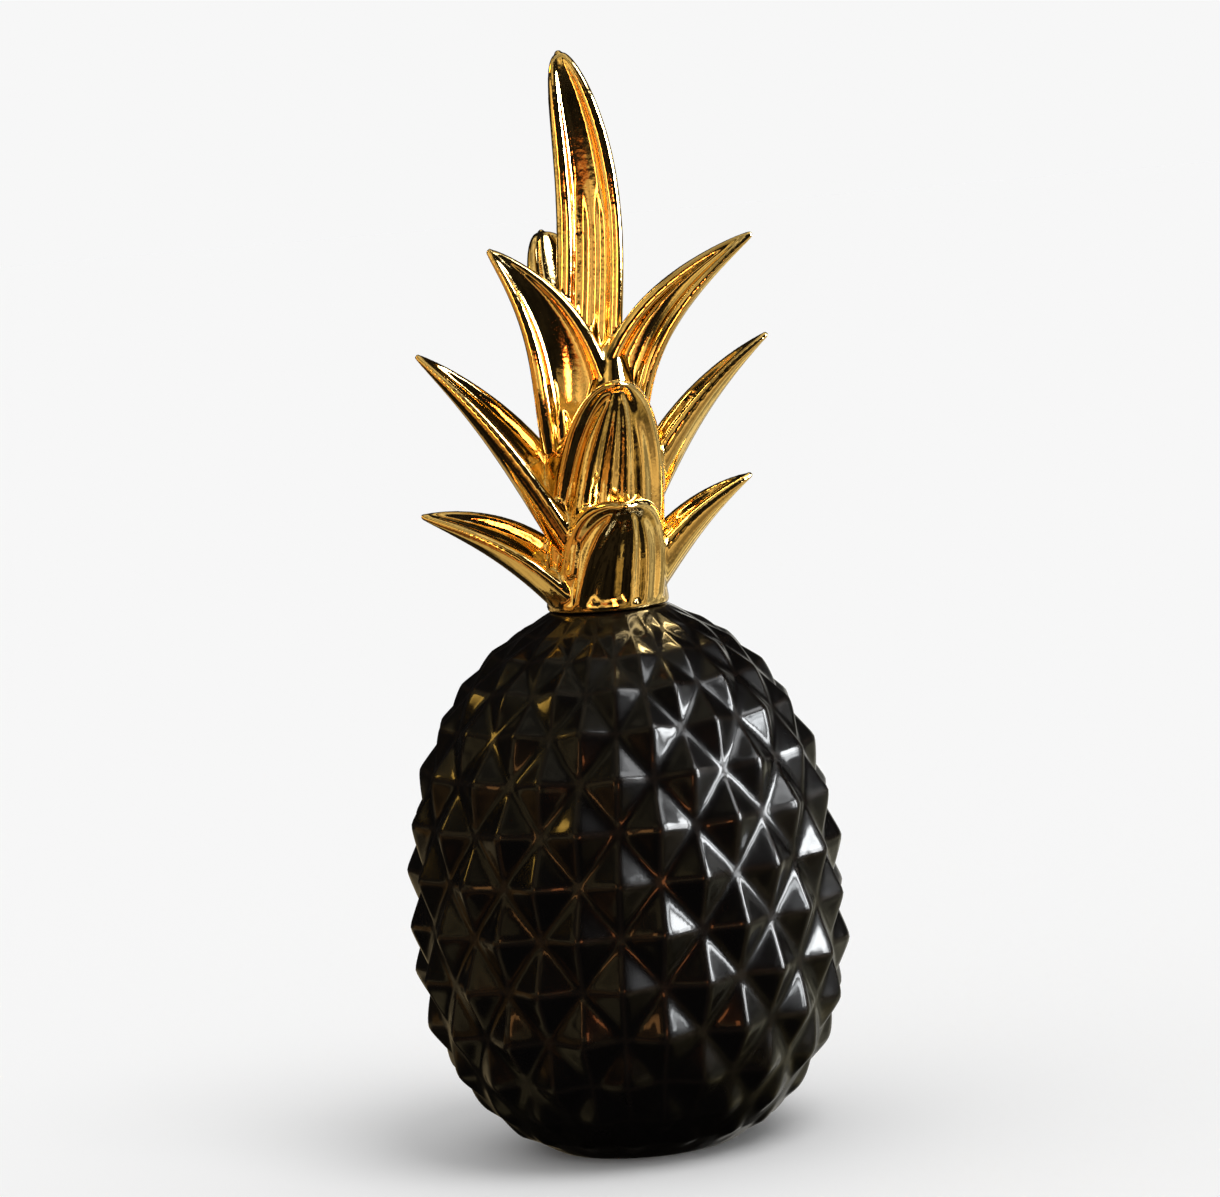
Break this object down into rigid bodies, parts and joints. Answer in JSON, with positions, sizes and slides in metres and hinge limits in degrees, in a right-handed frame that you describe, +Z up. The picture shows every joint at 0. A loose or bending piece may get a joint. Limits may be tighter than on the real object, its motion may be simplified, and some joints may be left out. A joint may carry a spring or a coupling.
{
  "type": "pineapple figurine",
  "caption": "Ornamental pineapple: a glazed fruit cut in diamond facets under a gilded crown of curved leaves, standing on a flat foot.",
  "frame": {"origin": "middle of the flat foot's underside", "axes": "+Z up through the crown, -Y towards the front, +X to the right seen from the front"},
  "size_m": [0.1143, 0.1142, 0.2823],
  "materials": {
    "black_glaze": "glossy near-black brown glaze, softened on the ridges and pooled in the grooves",
    "gilding": "mirror-bright warm gold electroplate over ceramic, finely rippled and pitted"
  },
  "bodies": {
    "root": {"fruit_body": "black_glaze", "leaf_crown": "gilding"}
  },
  "joints": []
}
